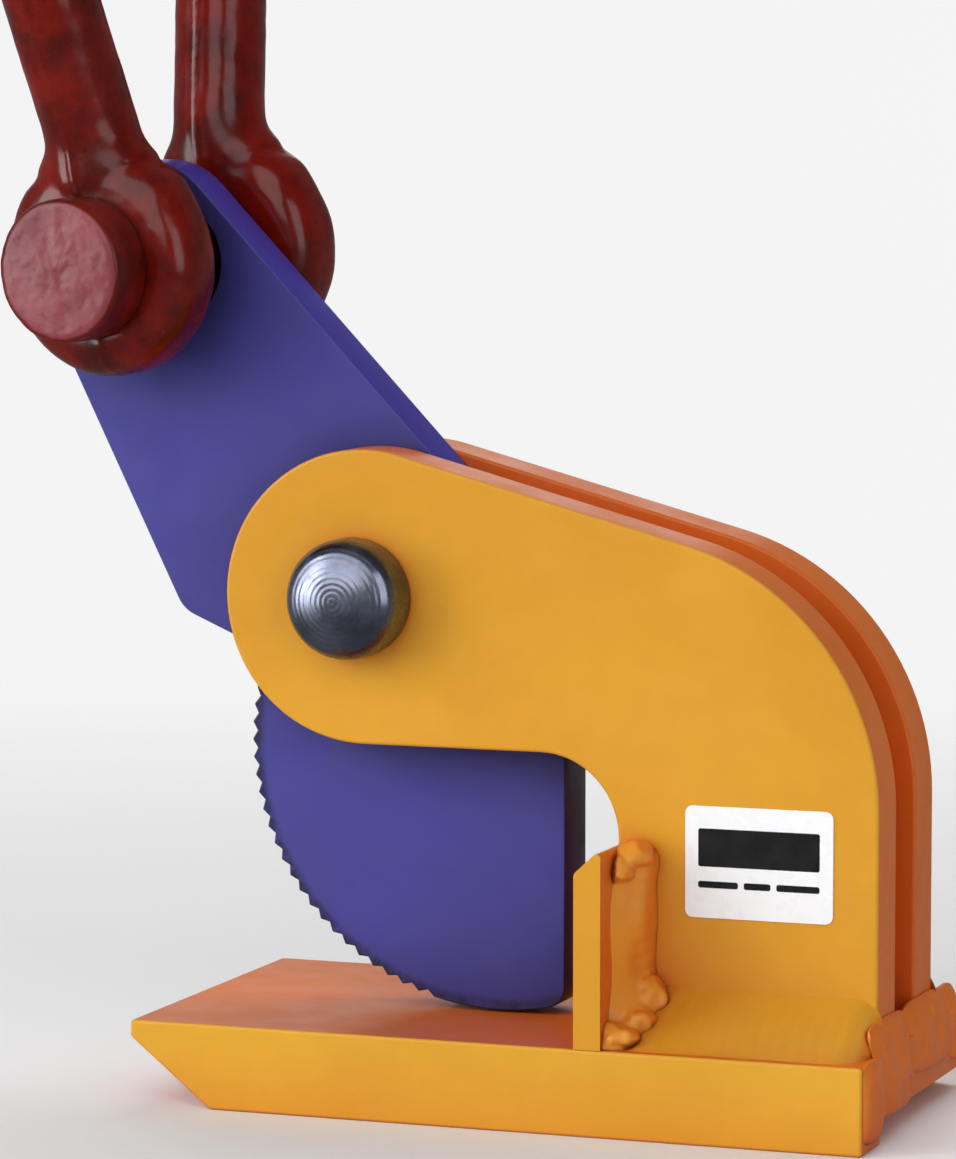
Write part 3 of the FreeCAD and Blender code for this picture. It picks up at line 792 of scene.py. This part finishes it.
# -------------------------------------------------------------- pivot, lever


def pivot_pin():
    """The pivot pin: a thick domed head with a rounded corner, turned bright, and a grooved tail."""
    low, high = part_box("pivot_pin")
    ring_low, ring_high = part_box("retaining_ring")
    head_r = (high.x - low.x) / 2
    shank_r = PIVOT_SHANK_R
    groove_r = PIVOT_GROOVE_R
    groove_slack = 0.05 * MM
    crown = 2.6 * MM
    crown_edge = head_r - 3.2 * MM
    crown_r = (crown_edge**2 + crown**2) / (2 * crown)
    lean = math.asin(crown_edge / crown_r)
    corner = (head_r - crown_edge) / (1 - math.sin(lean))
    crown_rings = 14
    corner_rings = 8
    profile = [(0.25 * MM, low.y)]
    for i in range(1, crown_rings + 1):
        r = crown_edge * i / crown_rings
        profile.append((r, low.y + crown_r - math.sqrt(crown_r**2 - r**2)))
    for i in range(1, corner_rings + 1):
        a = lean + (math.pi / 2 - lean) * i / corner_rings
        r = head_r - corner * (1 - math.sin(a))
        profile.append((r, low.y + crown + corner * (math.cos(lean) - math.cos(a))))
    profile += [
        (head_r, -PLATE_Y - 0.5 * MM),
        (head_r - 0.4 * MM, -PLATE_Y),
        (shank_r, -PLATE_Y),
        (shank_r, ring_low.y - groove_slack),
        (groove_r, ring_low.y - groove_slack),
        (groove_r, ring_high.y + groove_slack),
        (shank_r, ring_high.y + groove_slack),
        (shank_r, high.y - 1.0 * MM),
        (shank_r - 0.3 * MM, high.y - 0.3 * MM),
        (shank_r - 1.0 * MM, high.y),
        (1.2 * MM, high.y),
        (0.2 * MM, high.y - 0.9 * MM),
    ]
    mesh = lathe(profile, 128)
    mesh.transform(Matrix.Translation((PIVOT.x, 0, PIVOT.z)))
    piece = add_mesh("pivot_pin_turned", mesh, BRIGHT, "clamp_body", 24)
    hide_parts("pivot_pin")


def section_loops(node, y):
    """The closed outlines where a CAD node is cut at y, as lists of (x, z)."""
    bm = bmesh.new()
    bm.from_mesh(frame["nodes"][node].data)
    bmesh.ops.remove_doubles(bm, verts=bm.verts, dist=0.001 * MM)
    bmesh.ops.bisect_plane(
        bm,
        geom=bm.verts[:] + bm.edges[:] + bm.faces[:],
        plane_co=(0, y, 0),
        plane_no=(0, 1, 0),
        clear_inner=True,
        clear_outer=True,
    )
    left = dict.fromkeys(bm.edges)
    loops = []
    while left:
        edge, _ = left.popitem()
        start, here = edge.verts
        loop = [start.co.copy()]
        while here is not start:
            loop.append(here.co.copy())
            step = next((e for e in here.link_edges if e in left), None)
            if step is None:
                break
            del left[step]
            here = step.other_vert(here)
        loops.append([(p.x, p.z) for p in loop])
    bm.free()
    return [loop for loop in loops if len(loop) > 8]


def rounded_plate(node, bevel, y_low, y_high):
    """A flat plate on a CAD node's outline, with all its edges rounded."""
    curve = bpy.data.curves.new("outline", "CURVE")
    curve.dimensions = "2D"
    curve.fill_mode = "BOTH"
    for loop in section_loops(node, (y_low + y_high) / 2 + 0.13 * MM):
        spline = curve.splines.new("POLY")
        spline.points.add(len(loop) - 1)
        for point, (x, z) in zip(spline.points, loop):
            point.co = (x, z, 0, 1)
        spline.use_cyclic_u = True
    curve.extrude = (y_high - y_low) / 2 - bevel
    curve.bevel_depth = bevel
    curve.bevel_resolution = 3
    curve.offset = -bevel
    scratch = scratch_object(curve)
    scratch.matrix_world = Matrix.Translation((0, (y_low + y_high) / 2, 0)) @ Matrix.Rotation(
        math.pi / 2, 4, "X"
    )
    mesh = baked(scratch)
    bpy.data.curves.remove(curve)
    return mesh


def cam_lever():
    """The toothed lever, cut from plate with its edges eased."""
    low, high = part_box("cam_lever")
    mesh = rounded_plate("cam_lever", 0.35 * MM, low.y, high.y)
    piece = add_mesh("cam_lever_plate", mesh, BLUE, "cam", 35)
    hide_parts("cam_lever")


# -------------------------------------------------------------------- label


def rounded_rectangle(x0, x1, z0, z1, radius, steps=8):
    """The (x, z) outline of a rectangle with round corners."""
    corners = [(x1, z1, 0), (x0, z1, 1), (x0, z0, 2), (x1, z0, 3)]
    points = []
    for x, z, quarter in corners:
        cx = x - radius if x == x1 else x + radius
        cz = z - radius if z == z1 else z + radius
        for i in range(steps + 1):
            a = math.pi / 2 * (quarter + i / steps)
            points.append((cx + radius * math.cos(a), cz + radius * math.sin(a)))
    return points


def thin_sheet(outline, y_front, y_back, lip):
    """A thin closed sheet facing -Y, with its front edge eased by lip."""
    middle_x = sum(x for x, _ in outline) / len(outline)
    middle_z = sum(z for _, z in outline) / len(outline)

    def ring(y, inset):
        points = []
        for x, z in outline:
            away = Vector((x - middle_x, 0, z - middle_z))
            points.append(Vector((x, y, z)) - away.normalized() * inset)
        return points

    return loft([ring(y_back, 0), ring(y_front + lip, 0), ring(y_front, lip)])


def label():
    """The rating label, without any wording: a white sheet with one wide bar and three short ones."""
    low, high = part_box("rating_label")
    sheet = thin_sheet(
        rounded_rectangle(low.x, high.x, low.z, high.z, 1.8 * MM), low.y + 0.1 * MM, high.y, 0.06 * MM
    )
    piece = add_mesh("rating_label_sheet", sheet, LABEL_STOCK, "clamp_body", 30)
    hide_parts("rating_label")
    width = high.x - low.x
    height = high.z - low.z
    front = low.y + 0.04 * MM
    back = low.y + 0.15 * MM
    marks = []
    for x0, x1, z0, z1 in LABEL_BARS:
        outline = rounded_rectangle(
            low.x + width * x0, low.x + width * x1, low.z + height * z0, low.z + height * z1, 0.5 * MM
        )
        marks.append(thin_sheet(outline, front, back, 0.02 * MM))
    add_mesh("rating_label_print", join(marks), LABEL_INK, "clamp_body", 30)


# ------------------------------------------------------- pieces and finishes

for side, where in ((-1, "front"), (1, "rear")):
    foot_weld(where, side)
    stop_weld(where, side)
end_weld()
shackle_forging()
shackle_pin()
split_pin()
pivot_pin()
cam_lever()
label()

NODE_FINISHES = {
    "base_plate": YELLOW_BASE,
    "front_side_plate": YELLOW_PLATE,
    "rear_side_plate": YELLOW_PLATE,
    "back_spacer": YELLOW,
    "front_stop_lug": YELLOW,
    "rear_stop_lug": YELLOW,
    "front_foot_weld": YELLOW_WELD,
    "rear_foot_weld": YELLOW_WELD,
    "front_stop_weld": YELLOW_WELD,
    "rear_stop_weld": YELLOW_WELD,
    "end_weld": YELLOW_WELD,
    "pivot_pin": BRIGHT,
    "pivot_washer": ZINC_PLATE,
    "retaining_ring": OILED,
    "rating_label": LABEL_STOCK,
    "cam_lever": BLUE,
    "cam_bush": BRONZE_BUSH,
    "shackle_bow": RED,
    "shackle_pin": RED_PIN,
    "shackle_cotter": ZINC_PLATE,
}
for name, material in NODE_FINISHES.items():
    data = frame["nodes"][name].data
    data.materials.clear()
    data.materials.append(material)


# -------------------------------------------------------------------- stage


def floor():
    """A wide pale disc just under the base."""
    rings = 16
    spokes = 96
    points = [Vector((0, 0, 0))]
    for i in range(1, rings + 1):
        for k in range(spokes):
            a = 2 * math.pi * k / spokes
            points.append(Vector((math.cos(a), math.sin(a), 0)) * FLOOR_RIM * i / rings)
    faces = [(0, 1 + k, 1 + (k + 1) % spokes) for k in range(spokes)]
    for i in range(rings - 1):
        for k in range(spokes):
            a = 1 + i * spokes + k
            b = 1 + i * spokes + (k + 1) % spokes
            faces.append((a, a + spokes, b + spokes, b))
    mesh = bpy.data.meshes.new("floor")
    mesh.from_pydata([tuple(p) for p in points], [], faces)
    disc = add_mesh("floor", mesh, FLOOR_PAINT, None)
    disc.location = (0, 0, BASE_LOW.z - 0.05 * MM)
    disc.visible_glossy = False


def backdrop():
    """A white dome all round, which lights nothing and shows in no reflection."""
    bm = bmesh.new()
    bmesh.ops.create_uvsphere(bm, u_segments=64, v_segments=32, radius=BACKDROP_RADIUS)
    mesh = bpy.data.meshes.new("backdrop")
    bm.to_mesh(mesh)
    bm.free()
    dome = add_mesh("backdrop", mesh, BACKDROP_PAINT, None)
    dome.visible_diffuse = False
    dome.visible_glossy = False
    dome.visible_transmission = False
    dome.visible_shadow = False


def soft_light(name, at, aim, size, power, reflected=True):
    """A rectangular area light; reflected=False keeps it out of glossy reflections."""
    data = bpy.data.lights.new(name, "AREA")
    data.shape = "RECTANGLE"
    data.size, data.size_y = size
    data.energy = power
    light = bpy.data.objects.new(name, data)
    light.location = at
    light.rotation_mode = "QUATERNION"
    light.rotation_quaternion = (Vector(aim) - Vector(at)).to_track_quat("-Z", "Y")
    light.visible_glossy = reflected
    bpy.context.scene.collection.objects.link(light)


def world():
    """A dim grey surround, a little lighter near the horizon than overhead."""
    made = bpy.data.worlds.new("studio")
    made.use_nodes = True
    nodes, links = made.node_tree.nodes, made.node_tree.links
    coords = nodes.new("ShaderNodeTexCoord")
    split = nodes.new("ShaderNodeSeparateXYZ")
    links.new(coords.outputs["Generated"], split.inputs[0])
    ramp = nodes.new("ShaderNodeMapRange")
    links.new(split.outputs["Z"], ramp.inputs["Value"])
    ramp.inputs["From Min"].default_value = 0.0
    ramp.inputs["From Max"].default_value = 0.6
    ramp.inputs["To Min"].default_value = 0.20
    ramp.inputs["To Max"].default_value = 0.10
    links.new(ramp.outputs[0], nodes["Background"].inputs["Color"])
    bpy.context.scene.world = made


def camera():
    """The camera at the picture's place and angle."""
    data = bpy.data.cameras.new("camera")
    data.lens = LENS_MM
    data.sensor_width = SENSOR_MM
    made = bpy.data.objects.new("camera", data)
    made.location = CAMERA_AT
    made.rotation_euler = (math.radians(CAMERA_PITCH), 0, math.radians(CAMERA_TURN))
    bpy.context.scene.collection.objects.link(made)
    bpy.context.scene.camera = made


floor()
backdrop()
soft_light("key", (-0.5, -2.2, 1.6), (0.0, 0.0, 0.14), (3.0, 2.2), 42)
soft_light("side", (-1.64, -1.15, 0.6), (0.0, 0.0, 0.16), (0.9, 1.7), 27)
soft_light("fill", (1.6, -1.3, 0.7), (0.0, 0.0, 0.12), (1.0, 1.6), 11)
soft_light("rim", (-1.0, 1.9, 1.1), (0.0, 0.0, 0.10), (1.6, 1.2), 5)
soft_light("overhead", (0.3, 1.3, 1.9), (0.0, 0.0, 0.10), (2.2, 1.6), 26, reflected=False)
world()
camera()
bpy.context.scene.view_settings.view_transform = "Standard"
